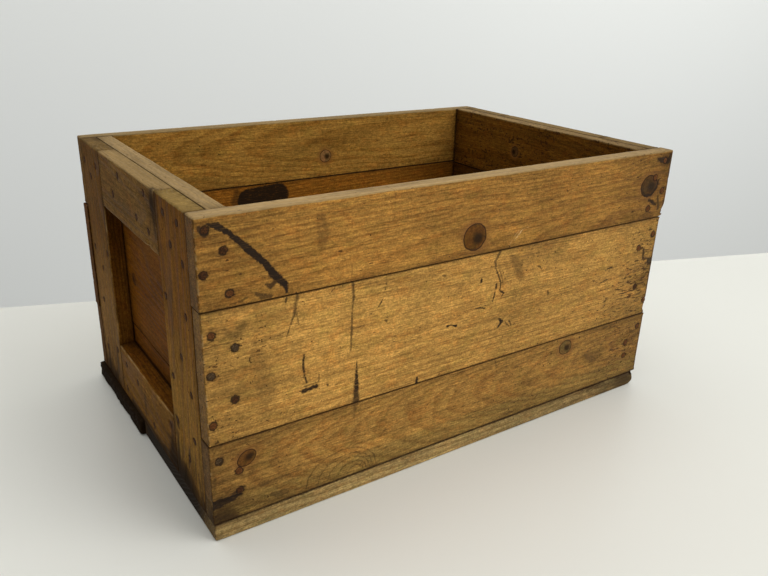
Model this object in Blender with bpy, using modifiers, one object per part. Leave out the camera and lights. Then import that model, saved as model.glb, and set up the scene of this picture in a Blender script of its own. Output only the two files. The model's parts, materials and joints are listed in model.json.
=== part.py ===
"""A nailed pine apple crate, open at the top.

Three boards a side and two floor boards run along the length. Each end is two layers: a panel of two boards
across the width, and outside it a frame of two stiles and two rails, whose window is the hand-hold recess.
+X runs along the length, +Y to the back, +Z up. The origin is on the ground, in the middle of the outline.
"""

from math import pi

import bpy

# Driving dimensions, in metres.
LENGTH = 0.519
WIDTH = 0.335
HEIGHT = 0.276
SIDE_THICKNESS = 0.0168
FLOOR_THICKNESS = 0.0168
FRAME_THICKNESS = 0.016
PANEL_THICKNESS = 0.0155
STILE_WIDTH = 0.067
TOP_RAIL_WIDTH = 0.054
BOTTOM_RAIL_WIDTH = 0.056
SIDE_BOTTOM_WIDTH = 0.0740
SIDE_TOP_WIDTH = {"front": 0.0717, "back": 0.0705}
FLOOR_FRONT_WIDTH = 0.185
LEFT_LOWER_PANEL_WIDTH = 0.078
RIGHT_UPPER_PANEL_WIDTH = 0.072

# Gaps: pieces nailed face to face, and boards or rails laid edge to edge.
CONTACT_GAP = 0.0003
SEAM_GAP = 0.0008

# How far a board runs past the crate's left and right ends. Below zero it stops short.
BOARD_ENDS = {
    "front_top": (0.0, 0.003),
    "front_middle": (-0.0005, -0.001),
    "front_bottom": (0.0, 0.0),
    "back_top": (-0.001, 0.0),
    "back_middle": (0.001, -0.001),
    "back_bottom": (0.0, 0.0005),
    "floor_front": (-0.0005, -0.001),
    "floor_back": (0.006, -0.004),
}

EDGE_ROUNDING = 0.0012
ROUNDING_SEGMENTS = 2

# Nails. The long ones go through the sides and the floor, the short ones through the end frames.
HEAD_RADIUS = 0.0033
HEAD_THICKNESS = 0.0011
SHANK_RADIUS = 0.00125
POINT_LENGTH = 0.004
LONG_NAIL = 0.045
SHORT_NAIL = 0.028
NAIL_CLEARANCE = 0.0003
HEAD_DEPTH = 0.0002
TURNED_STEPS = 10
TURNED_MERGE = 0.00001
CUTTER_REACH = 0.002

# At each end, a side board has one nail into the stile, this far below its upper edge, and one into the
# panel, this far above its lower edge.
STILE_NAIL_INSET = {"top": 0.010, "middle": 0.019, "bottom": 0.015}
PANEL_NAIL_INSET = {"top": 0.011, "middle": 0.036, "bottom": 0.025}
FLOOR_NAIL_INSET = 0.040
RAIL_NAIL_INSET = 0.018
RAIL_NAIL_OFFSET = 0.027

PINE = (0.29, 0.15, 0.045)
DARK_PINE = (0.13, 0.07, 0.025)
PANEL_PINE = (0.17, 0.09, 0.03)
FLOOR_PINE = (0.24, 0.15, 0.065)
RUSTY_STEEL = (0.06, 0.035, 0.025)
WOOD_ROUGHNESS = 0.7
RUST_ROUGHNESS = 0.6
RUST_METALLIC = 0.6


def clear_scene():
    for obj in list(bpy.data.objects):
        bpy.data.objects.remove(obj, do_unlink=True)


def new_collection(name, hidden=False):
    collection = bpy.data.collections.new(name)
    collection.hide_render = hidden
    bpy.context.scene.collection.children.link(collection)
    return collection


def material(name, color, roughness, metallic):
    made = bpy.data.materials.new(name)
    made.use_nodes = True
    shader = made.node_tree.nodes["Principled BSDF"]
    shader.inputs["Base Color"].default_value = (*color, 1.0)
    shader.inputs["Roughness"].default_value = roughness
    shader.inputs["Metallic"].default_value = metallic
    return made


class Crate:
    """Makes boards and nails in the crate's collection, under one parent empty."""

    def __init__(self):
        self.parts = new_collection("wooden_apple_crate")
        self.cutters = new_collection("nail_cutters", hidden=True)
        self.base = bpy.data.objects.new("crate", None)
        left_reach = max(left for left, _ in BOARD_ENDS.values())
        right_reach = max(right for _, right in BOARD_ENDS.values())
        self.base.location.x = (left_reach - right_reach) / 2
        self.parts.objects.link(self.base)

    def board(self, name, low, high, color):
        """A plank between two corners, with its edges rounded."""
        bpy.ops.mesh.primitive_cube_add(size=1.0)
        plank = bpy.context.object
        for collection in list(plank.users_collection):
            collection.objects.unlink(plank)
        self.parts.objects.link(plank)
        plank.name = name
        plank.scale = [end - start for start, end in zip(low, high)]
        bpy.ops.object.transform_apply(location=False, rotation=False, scale=True)
        plank.location = [(start + end) / 2 for start, end in zip(low, high)]
        plank.parent = self.base
        plank.data.materials.append(material(name, color, WOOD_ROUGHNESS, 0.0))
        rounding = plank.modifiers.new("rounded edges", "BEVEL")
        rounding.width = EDGE_ROUNDING
        rounding.segments = ROUNDING_SEGMENTS

    def nail(self, name, place, turn, length, through):
        """A nail whose head faces out along the turned +Z, and its hole in each board it goes through."""
        driven = turned_object(name, nail_outline(length), self.parts)
        driven.data.materials.append(material(name, RUSTY_STEEL, RUST_ROUGHNESS, RUST_METALLIC))
        hole = turned_object(name + "_hole", nail_hole_outline(length), self.cutters)
        hole.display_type = "WIRE"
        hole.hide_render = True
        for obj in (driven, hole):
            obj.location = place
            obj.rotation_euler = turn
            obj.parent = self.base
        for board in through:
            cut = bpy.data.objects[board].modifiers.new(name, "BOOLEAN")
            cut.operation = "DIFFERENCE"
            cut.solver = "EXACT"
            cut.object = hole


def nail_outline(length):
    """(radius, height) down the outer side, from the middle of the head's face to the point."""
    top = -HEAD_DEPTH
    neck = top - HEAD_THICKNESS
    tip = top - length
    return [
        (0.0, top),
        (HEAD_RADIUS, top),
        (HEAD_RADIUS, neck),
        (SHANK_RADIUS, neck),
        (SHANK_RADIUS, tip + POINT_LENGTH),
        (0.0, tip),
    ]


def nail_hole_outline(length):
    """The nail's outline with the clearance round it, open above the head."""
    head = HEAD_RADIUS + NAIL_CLEARANCE
    shank = SHANK_RADIUS + NAIL_CLEARANCE
    neck = -HEAD_DEPTH - HEAD_THICKNESS - NAIL_CLEARANCE
    end = -HEAD_DEPTH - length - NAIL_CLEARANCE
    return [
        (0.0, CUTTER_REACH),
        (head, CUTTER_REACH),
        (head, neck),
        (shank, neck),
        (shank, end),
        (0.0, end),
    ]


def turned_object(name, outline, collection):
    """The outline turned round Z with a Screw modifier."""
    mesh = bpy.data.meshes.new(name)
    points = [(radius, 0.0, height) for radius, height in outline]
    mesh.from_pydata(points, [(i, i + 1) for i in range(len(points) - 1)], [])
    obj = bpy.data.objects.new(name, mesh)
    collection.objects.link(obj)
    turn = obj.modifiers.new("turned", "SCREW")
    turn.steps = TURNED_STEPS
    turn.render_steps = TURNED_STEPS
    turn.use_merge_vertices = True
    turn.merge_threshold = TURNED_MERGE
    turn.use_smooth_shade = True
    return obj


def board_ends(name):
    """Where a board that runs along the crate starts and stops."""
    left, right = BOARD_ENDS[name]
    return -LENGTH / 2 - left, LENGTH / 2 + right


def side_heights(side):
    """(bottom, top) of each of a side's three boards."""
    foot = FLOOR_THICKNESS + CONTACT_GAP
    low_seam = FLOOR_THICKNESS + SIDE_BOTTOM_WIDTH
    high_seam = HEIGHT - SIDE_TOP_WIDTH[side]
    return {
        "bottom": (foot, low_seam - SEAM_GAP / 2),
        "middle": (low_seam + SEAM_GAP / 2, high_seam - SEAM_GAP / 2),
        "top": (high_seam + SEAM_GAP / 2, HEIGHT),
    }


def add_sides(crate):
    for side, facing in (("front", -1), ("back", 1)):
        outer = facing * WIDTH / 2
        inner = facing * (WIDTH / 2 - SIDE_THICKNESS)
        for level, (bottom, top) in side_heights(side).items():
            start, stop = board_ends(f"{side}_{level}")
            low = (start, min(outer, inner), bottom)
            high = (stop, max(outer, inner), top)
            crate.board(f"{side}_{level}_board", low, high, PINE)


def add_floor(crate):
    seam = -WIDTH / 2 + FLOOR_FRONT_WIDTH
    spans = {
        "floor_front": (-WIDTH / 2, seam - SEAM_GAP / 2),
        "floor_back": (seam + SEAM_GAP / 2, WIDTH / 2),
    }
    for name, (near, far) in spans.items():
        start, stop = board_ends(name)
        crate.board(name + "_board", (start, near, 0.0), (stop, far, FLOOR_THICKNESS), FLOOR_PINE)


def end_span(facing, depth, thickness):
    """X limits of a layer of an end, this deep behind the end's outer face."""
    outer = facing * (LENGTH / 2 - depth)
    inner = outer - facing * thickness
    return min(outer, inner), max(outer, inner)


def window():
    """(half width, bottom, top) of the hand-hold recess in an end's frame."""
    half = WIDTH / 2 - SIDE_THICKNESS - CONTACT_GAP - STILE_WIDTH
    return half, FLOOR_THICKNESS + CONTACT_GAP + BOTTOM_RAIL_WIDTH, HEIGHT - TOP_RAIL_WIDTH


def add_frame(crate, end, facing):
    """The outer layer of an end: two stiles the full height, and two rails between them."""
    x_low, x_high = end_span(facing, 0.0, FRAME_THICKNESS)
    half, window_bottom, window_top = window()
    foot = FLOOR_THICKNESS + CONTACT_GAP
    for side, way in (("front", -1), ("back", 1)):
        ys = sorted((way * half, way * (half + STILE_WIDTH)))
        crate.board(f"{end}_{side}_stile", (x_low, ys[0], foot), (x_high, ys[1], HEIGHT), DARK_PINE)
    reach = half - SEAM_GAP
    rails = {
        "bottom_rail": (foot, window_bottom),
        "top_rail": (window_top, HEIGHT),
    }
    for rail, (bottom, top) in rails.items():
        crate.board(f"{end}_{rail}", (x_low, -reach, bottom), (x_high, reach, top), DARK_PINE)


def add_panel(crate, end, facing, seam):
    """The inner layer of an end: two boards across the width, meeting at the seam's height."""
    x_low, x_high = end_span(facing, FRAME_THICKNESS + CONTACT_GAP, PANEL_THICKNESS)
    reach = WIDTH / 2 - SIDE_THICKNESS - CONTACT_GAP
    layers = {
        "lower": (FLOOR_THICKNESS + CONTACT_GAP, seam - SEAM_GAP / 2),
        "upper": (seam + SEAM_GAP / 2, HEIGHT),
    }
    for layer, (bottom, top) in layers.items():
        crate.board(f"{end}_{layer}_panel_board", (x_low, -reach, bottom), (x_high, reach, top), PANEL_PINE)


def nail_lines():
    """How far from the middle the nails into the stiles and those into the panels stand, along X."""
    stile_x = LENGTH / 2 - FRAME_THICKNESS / 2
    panel_x = LENGTH / 2 - FRAME_THICKNESS - CONTACT_GAP - PANEL_THICKNESS / 2
    return stile_x, panel_x


def panel_board_at(end, height, seams):
    layer = "lower" if height < seams[end] else "upper"
    return f"{end}_{layer}_panel_board"


def add_side_nails(crate, seams):
    """Through each side board's ends: one nail into the stile and one into the panel."""
    stile_x, panel_x = nail_lines()
    for side, facing in (("front", -1), ("back", 1)):
        turn = (-facing * pi / 2, 0.0, 0.0)
        for end, way in (("left", -1), ("right", 1)):
            for level, (bottom, top) in side_heights(side).items():
                board = f"{side}_{level}_board"
                name = f"nail_{side}_{end}_{level}"
                height = top - STILE_NAIL_INSET[level]
                place = (way * stile_x, facing * WIDTH / 2, height)
                crate.nail(name + "_stile", place, turn, LONG_NAIL, [board, f"{end}_{side}_stile"])
                height = bottom + PANEL_NAIL_INSET[level]
                place = (way * panel_x, facing * WIDTH / 2, height)
                held = panel_board_at(end, height, seams)
                crate.nail(name + "_panel", place, turn, LONG_NAIL, [board, held])


def add_floor_nails(crate):
    """Up through each floor board's ends: one nail into the stile and one into the lower panel board."""
    stile_x, panel_x = nail_lines()
    seam = -WIDTH / 2 + FLOOR_FRONT_WIDTH
    rows = {
        "front": (-WIDTH / 2 + FLOOR_NAIL_INSET, seam - FLOOR_NAIL_INSET),
        "back": (WIDTH / 2 - FLOOR_NAIL_INSET, seam + FLOOR_NAIL_INSET),
    }
    turn = (pi, 0.0, 0.0)
    for end, way in (("left", -1), ("right", 1)):
        for side, (outer_y, inner_y) in rows.items():
            board = f"floor_{side}_board"
            name = f"nail_floor_{side}_{end}"
            place = (way * stile_x, outer_y, 0.0)
            crate.nail(name + "_stile", place, turn, LONG_NAIL, [board, f"{end}_{side}_stile"])
            place = (way * panel_x, inner_y, 0.0)
            crate.nail(name + "_panel", place, turn, LONG_NAIL, [board, f"{end}_lower_panel_board"])


def add_frame_nails(crate, seams):
    """Through each stile and rail into the panel behind it."""
    half, window_bottom, window_top = window()
    middle = (window_bottom + window_top) / 2
    places = {
        "front_stile": (-half - STILE_WIDTH / 2, middle),
        "back_stile": (half + STILE_WIDTH / 2, middle),
        "top_rail": (-RAIL_NAIL_OFFSET, window_top + RAIL_NAIL_INSET),
        "bottom_rail": (RAIL_NAIL_OFFSET, window_bottom - RAIL_NAIL_INSET),
    }
    for end, way in (("left", -1), ("right", 1)):
        for piece, (y, height) in places.items():
            place = (way * LENGTH / 2, y, height)
            turn = (0.0, way * pi / 2, 0.0)
            through = [f"{end}_{piece}", panel_board_at(end, height, seams)]
            crate.nail(f"nail_{end}_{piece}", place, turn, SHORT_NAIL, through)


def main():
    clear_scene()
    crate = Crate()
    seams = {
        "left": FLOOR_THICKNESS + LEFT_LOWER_PANEL_WIDTH,
        "right": HEIGHT - RIGHT_UPPER_PANEL_WIDTH,
    }
    add_sides(crate)
    add_floor(crate)
    for end, facing in (("left", -1), ("right", 1)):
        add_frame(crate, end, facing)
        add_panel(crate, end, facing, seams[end])
    add_side_nails(crate, seams)
    add_floor_nails(crate)
    add_frame_nails(crate, seams)


main()
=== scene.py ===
"""The looks of a worn pine apple crate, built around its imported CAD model.

Every board is made again as a dense mesh with worn, chipped and nail-dimpled surfaces, and every nail as a
turned rusty nail. One node group holds the aged pine: growth rings round a pith line, fibres, knots, stains
and dirt. Places on the crate are millimetres from its left end, from its front face and from the ground.
"""
import json
from math import pi, radians
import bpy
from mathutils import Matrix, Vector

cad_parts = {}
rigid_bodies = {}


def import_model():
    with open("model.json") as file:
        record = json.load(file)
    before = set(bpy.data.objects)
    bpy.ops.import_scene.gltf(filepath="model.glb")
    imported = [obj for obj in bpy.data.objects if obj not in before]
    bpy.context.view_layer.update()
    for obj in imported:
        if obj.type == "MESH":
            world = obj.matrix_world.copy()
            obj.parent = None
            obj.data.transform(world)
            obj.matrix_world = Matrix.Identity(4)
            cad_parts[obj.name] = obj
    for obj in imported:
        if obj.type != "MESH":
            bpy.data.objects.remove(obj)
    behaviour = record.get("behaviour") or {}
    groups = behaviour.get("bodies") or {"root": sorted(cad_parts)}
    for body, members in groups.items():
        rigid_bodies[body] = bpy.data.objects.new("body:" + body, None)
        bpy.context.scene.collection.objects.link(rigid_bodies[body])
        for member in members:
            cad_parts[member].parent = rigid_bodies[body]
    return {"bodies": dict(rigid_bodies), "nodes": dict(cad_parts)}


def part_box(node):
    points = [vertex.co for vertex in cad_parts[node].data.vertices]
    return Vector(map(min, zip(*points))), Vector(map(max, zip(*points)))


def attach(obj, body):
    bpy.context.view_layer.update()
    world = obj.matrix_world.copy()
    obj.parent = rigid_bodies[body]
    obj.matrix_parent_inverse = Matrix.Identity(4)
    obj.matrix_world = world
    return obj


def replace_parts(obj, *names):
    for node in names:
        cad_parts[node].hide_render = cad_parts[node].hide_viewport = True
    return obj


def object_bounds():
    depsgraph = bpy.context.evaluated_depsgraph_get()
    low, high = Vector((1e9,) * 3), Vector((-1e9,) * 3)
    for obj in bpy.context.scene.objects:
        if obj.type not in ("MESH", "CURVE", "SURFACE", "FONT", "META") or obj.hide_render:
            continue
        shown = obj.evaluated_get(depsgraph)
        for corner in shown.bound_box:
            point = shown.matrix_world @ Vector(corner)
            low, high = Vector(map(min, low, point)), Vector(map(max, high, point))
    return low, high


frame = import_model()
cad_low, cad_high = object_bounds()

from types import SimpleNamespace

import bmesh
import bpy
import numpy as np
from mathutils import Matrix, Vector

MM = 0.001
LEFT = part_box("left_front_stile")[0].x
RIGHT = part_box("right_front_stile")[1].x
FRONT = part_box("front_top_board")[0].y
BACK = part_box("back_top_board")[1].y
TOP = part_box("front_top_board")[1].z
LENGTH_MM = (RIGHT - LEFT) / MM
WIDTH_MM = (BACK - FRONT) / MM

# A board's mesh: how far apart its rows are, how far from its ends they are fine, and the rows by an edge.
COARSE = 2.0 * MM
FINE = 1.25 * MM
NAILED_REACH = 30 * MM
EDGE_ROWS = (0.5 * MM, 1.1 * MM, 1.9 * MM, 3.0 * MM)

# How deep a board's surface is worn: hollows, fibres, the dents round nails, and the groove round a knot.
HOLLOW = 0.22 * MM
FIBRE_DEPTH = 0.07 * MM
NAIL_DENT = 0.4 * MM
KNOT_GROOVE = 0.2 * MM

# How far up from the ground and in from a board's end the dirt reaches, and how deep the pale rim goes.
GROUND_DIRT = 45 * MM
END_DIRT = 30 * MM
RIM_DEPTH = 3.0 * MM

# How far an end's frame stands out round its hand hold, and how far in a board's dark end skin reaches.
FRAME_DEPTH = 16 * MM
END_SKIN = 0.6 * MM

# How far a board's edges are rounded off: the usual radius, how much it varies, in chips, and its limits.
ROUNDING = 1.1 * MM
ROUNDING_CHANGE = 0.7 * MM
CHIP_ROUNDING = 1.8 * MM
LEAST_ROUNDING = 0.35 * MM
MOST_ROUNDING = 4 * MM


def place(x, y, z):
    """A point from millimetres from the crate's left end, front face and the ground."""
    return np.array([LEFT + x * MM, FRONT + y * MM, z * MM])


# ---------- noise


def lattice(i, j, k, seed):
    """A repeatable number from 0 to 1 at each whole-number point."""
    n = (i * 374761393 + j * 668265263 + k * 1440662683 + seed * 974634777) & 0xFFFFFFFF
    n = ((n ^ (n >> 13)) * 1274126177) & 0xFFFFFFFF
    n = ((n ^ (n >> 15)) * 2246822519) & 0xFFFFFFFF
    return ((n ^ (n >> 16)) & 0xFFFFFF) / float(0xFFFFFF)


def noise(points, size, seed):
    """Smooth noise from -1 to 1, with features about size across. size may differ by axis."""
    scaled = np.asarray(points) / np.asarray(size) + 1000.0
    whole = np.floor(scaled).astype(np.int64)
    part = scaled - whole
    part = part * part * (3 - 2 * part)
    total = 0.0
    for corner in range(8):
        step = np.array([corner & 1, corner >> 1 & 1, corner >> 2 & 1])
        weight = np.prod(np.where(step == 1, part, 1 - part), axis=-1)
        cell = whole + step
        total = total + weight * lattice(cell[..., 0], cell[..., 1], cell[..., 2], seed)
    return total * 2 - 1


def rough_noise(points, size, seed, octaves=3):
    size = np.asarray(size, float)
    parts = [noise(points, size / 2**n, seed + n) / 2**n for n in range(octaves)]
    return sum(parts) / sum(0.5**n for n in range(octaves))


def smooth(value, low, high):
    """0 below low, 1 above high and smooth between them. low may be above high."""
    t = np.clip((value - low) / (high - low), 0, 1)
    return t * t * (3 - 2 * t)


# ---------- boards


class Board:
    """One plank: its CAD box and its own directions. u is along the grain, v across it and w through it."""

    def __init__(self, node, grain, across, through):
        self.node = node
        low, high = (np.array(c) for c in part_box(node))
        self.order = [grain, across, through]
        self.center = (low + high) / 2
        self.half = ((high - low) / 2)[self.order]
        self.seed = sum(ord(c) * (i + 3) for i, c in enumerate(node)) % 9973

    def local(self, world):
        return (np.asarray(world, float) - self.center)[..., self.order]

    def world(self, local):
        out = np.empty_like(local)
        out[..., self.order] = local
        return out + self.center


def rows(half, fine_reach):
    """Places of the mesh's rows along one direction: closest at the ends, and coarser in the middle."""
    near = [-half] + [-half + r for r in EDGE_ROWS if r < half * 0.8]
    start = near[-1]
    fine_end = min(-half + fine_reach, 0.0)
    if fine_end > start:
        count = max(1, round((fine_end - start) / FINE))
        near += list(np.linspace(start, fine_end, count + 1)[1:])
    start = near[-1]
    count = max(1, round(-2 * start / COARSE)) if start < -1e-6 else 0
    middle = list(np.linspace(start, -start, count + 1)[1:]) if count else []
    far = [-x for x in reversed(near[:-1])]
    return np.array(near + middle + far)


def box_grid(us, vs, ws):
    """(points, quads) of a box's surface, with a row of points at each of these places."""
    counts = (len(us), len(vs), len(ws))
    inside = np.ones(counts, bool)
    inside[1:-1, 1:-1, 1:-1] = False
    index = np.full(counts, -1)
    index[inside] = np.arange(inside.sum())
    grid = np.stack(np.meshgrid(us, vs, ws, indexing="ij"), -1)
    quads = []
    for axis in range(3):
        for end in (0, -1):
            face = np.take(index, end, axis=axis)
            corners = [face[:-1, :-1], face[1:, :-1], face[1:, 1:], face[:-1, 1:]]
            flip = (end == 0) != (axis == 1)
            quads.append(np.stack(corners[::-1] if flip else corners, -1).reshape(-1, 4))
    return grid[inside], np.concatenate(quads)


def add_object(name, data):
    obj = bpy.data.objects.new(name, data)
    bpy.context.scene.collection.objects.link(obj)
    return obj


def mesh_object(name, points, quads):
    mesh = bpy.data.meshes.new(name)
    mesh.vertices.add(len(points))
    mesh.vertices.foreach_set("co", points.astype(np.float32).ravel())
    mesh.loops.add(quads.size)
    mesh.loops.foreach_set("vertex_index", quads.astype(np.int32).ravel())
    mesh.polygons.add(len(quads))
    mesh.polygons.foreach_set("loop_start", np.arange(0, quads.size, 4, dtype=np.int32))
    mesh.update(calc_edges=True)
    mesh.validate()
    mesh.shade_smooth()
    return add_object(name, mesh)


def store(obj, name, values):
    kind = "FLOAT_VECTOR" if values.ndim == 2 else "FLOAT"
    attribute = obj.data.attributes.new(name, kind, "POINT")
    field = "vector" if values.ndim == 2 else "value"
    attribute.data.foreach_set(field, values.astype(np.float32).ravel())


# Each board's knots: place, half length, half width, degrees from the grain to the long axis, and colour.
KNOTS = {
    "front_top_board": [
        ((256, 0, 222), 12.8, 12.2, 0, (92, 56, 14)),
        ((491, 0, 241), 12.6, 11.2, 0, (78, 51, 22)),
    ],
    "front_bottom_board": [
        ((394, 0, 78), 9, 8, 0, (106, 78, 38)),
        ((31, 0, 71), 8.6, 6.6, 32, (98, 62, 22)),
    ],
    "back_top_board": [((284, WIDTH_MM, 231), 7.5, 7.5, 0, (128, 90, 52))],
    "back_middle_board": [((120, WIDTH_MM, 150), 9, 8, 10, (96, 62, 32))],
    "back_bottom_board": [((410, WIDTH_MM, 52), 8, 7, 0, (96, 62, 32))],
    "floor_back_board": [((150, 260, 0), 10, 9, 0, (70, 50, 30))],
    "right_upper_panel_board": [((LENGTH_MM, 200, 240), 6, 6.5, 0, (84, 56, 28))],
    "left_upper_panel_board": [((0, 230, 150), 6, 6, 0, (96, 62, 28))],
    "right_back_stile": [((LENGTH_MM, 285, 90), 7, 6, 0, (92, 60, 30))],
}


def grain_fan(x, z, heights):
    """Rings of grain round a knot at the board's lower edge, as dark marks. They lean to the left."""
    strength, softness, half_width = 0.6, 1.0, 0.45
    stretch, lean = 1.35, 0.65
    fan = []
    for h in heights:
        turns = np.linspace(0, pi, 9)
        ring = [(x + h * (stretch * np.cos(t) - lean), z + h * np.sin(t), half_width) for t in turns]
        fan.append((strength, softness, ring))
    return fan


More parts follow.
